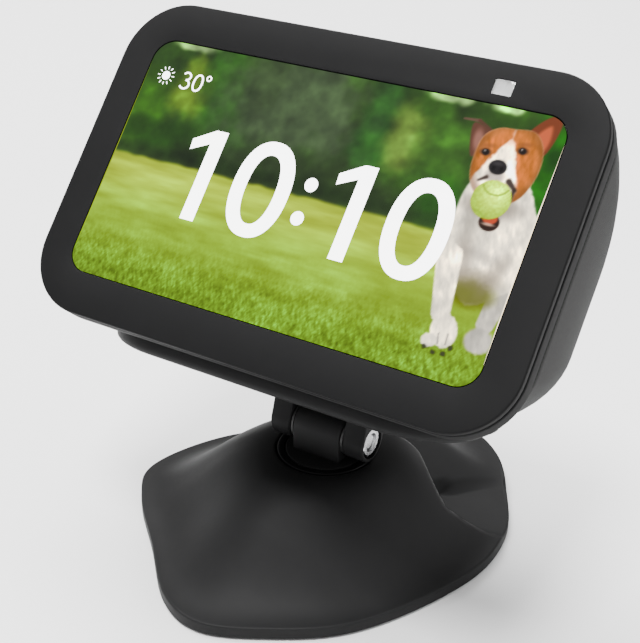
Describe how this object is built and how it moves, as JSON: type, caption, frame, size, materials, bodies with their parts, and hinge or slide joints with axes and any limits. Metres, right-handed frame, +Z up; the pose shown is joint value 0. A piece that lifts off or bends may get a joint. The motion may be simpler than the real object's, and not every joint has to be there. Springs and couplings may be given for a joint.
{
  "type": "smart display on a tilt and swivel stand",
  "caption": "Small smart display with a cloth-covered wedge body on a low stand whose post turns and whose tray tilts.",
  "frame": {"origin": "on the swivel axis, at the underside of the stand's grip pad", "axes": "+Z up along the swivel axis; the screen faces -Y and leans back; +X along the display's width, to the right of someone looking at the screen"},
  "size_m": [0.147, 0.1268, 0.1472],
  "materials": {
    "bezel": "satin",
    "screen_glass": "polished",
    "clear_window": "polished",
    "camera_black": "satin",
    "shutter_white": "matte",
    "lcd": "satin",
    "backlight": "satin",
    "rim": "matte",
    "steel": "satin",
    "housing_black": "matte",
    "cloth_charcoal": "woven",
    "button_black": "satin",
    "circuit_board": "satin",
    "aluminium": "satin",
    "speaker_cone": "matte",
    "jack_black": "satin",
    "rubber_black": "matte",
    "adhesive_foam": "matte",
    "stand_black": "satin",
    "washer_nylon": "matte",
    "collar_black": "satin",
    "plate_black": "matte",
    "ballast_steel": "raw"
  },
  "bodies": {
    "foot": {"base_shell": "stand_black", "base_plate": "plate_black", "base_weight": "ballast_steel", "grip_pad": "rubber_black", "collar_ring": "collar_black", "base_screw_1": "steel", "base_screw_2": "steel", "base_screw_3": "steel", "base_screw_4": "steel"},
    "post": {"swivel_post": "stand_black", "swivel_washer": "washer_nylon", "spring_washer": "steel", "retaining_plate": "steel", "retaining_screw": "steel"},
    "shutter": {"camera_shutter": "shutter_white"},
    "mute_key": {"mute_button": "button_black"},
    "volume_down_key": {"volume_down_button": "button_black"},
    "volume_up_key": {"volume_up_button": "button_black"},
    "display": {"front_bezel": "bezel", "touch_screen": "screen_glass", "camera_window": "clear_window", "camera_module": "camera_black", "lcd_panel": "lcd", "backlight": "backlight", "front_frame": "rim", "chassis_plate": "steel", "frame_screw_1": "steel", "frame_screw_2": "steel", "frame_screw_3": "steel", "frame_screw_4": "steel", "rear_housing": "housing_black", "fabric_cover": "cloth_charcoal", "button_board": "circuit_board", "main_board": "circuit_board", "microphone_board": "circuit_board", "antenna_board": "circuit_board", "shield_can": "steel", "heat_spreader": "aluminium", "speaker_box": "housing_black", "speaker_driver": "speaker_cone", "power_jack": "jack_black", "foot_pad": "rubber_black", "adhesive_pad": "adhesive_foam", "tray": "stand_black", "hinge_bolt": "steel", "hinge_nut": "steel", "friction_washer_left": "washer_nylon", "friction_washer_right": "washer_nylon"}
  },
  "joints": [
    {"name": "swivel", "type": "hinge", "parent": "foot", "child": "post", "pos_m": [0, 0, 0.024], "axis": [0, 0, 1], "continuous": true},
    {"name": "tilt", "type": "hinge", "parent": "post", "child": "display", "pos_m": [0, 0, 0.036], "axis": [1, 0, 0], "range_deg": [-25, 30]},
    {"name": "shutter_slide", "type": "slide", "parent": "display", "child": "shutter", "axis": [1, 0, 0], "range_m": [0, 0.007]},
    {"name": "mute_press", "type": "slide", "parent": "display", "child": "mute_key", "axis": [0, -0.8914, -0.4532], "range_m": [0, 0.0005], "stiffness_N_per_m": 600, "springref_m": -0.001},
    {"name": "volume_down_press", "type": "slide", "parent": "display", "child": "volume_down_key", "axis": [0, -0.8914, -0.4532], "range_m": [0, 0.0005], "stiffness_N_per_m": 600, "springref_m": -0.001},
    {"name": "volume_up_press", "type": "slide", "parent": "display", "child": "volume_up_key", "axis": [0, -0.8914, -0.4532], "range_m": [0, 0.0005], "stiffness_N_per_m": 600, "springref_m": -0.001}
  ]
}
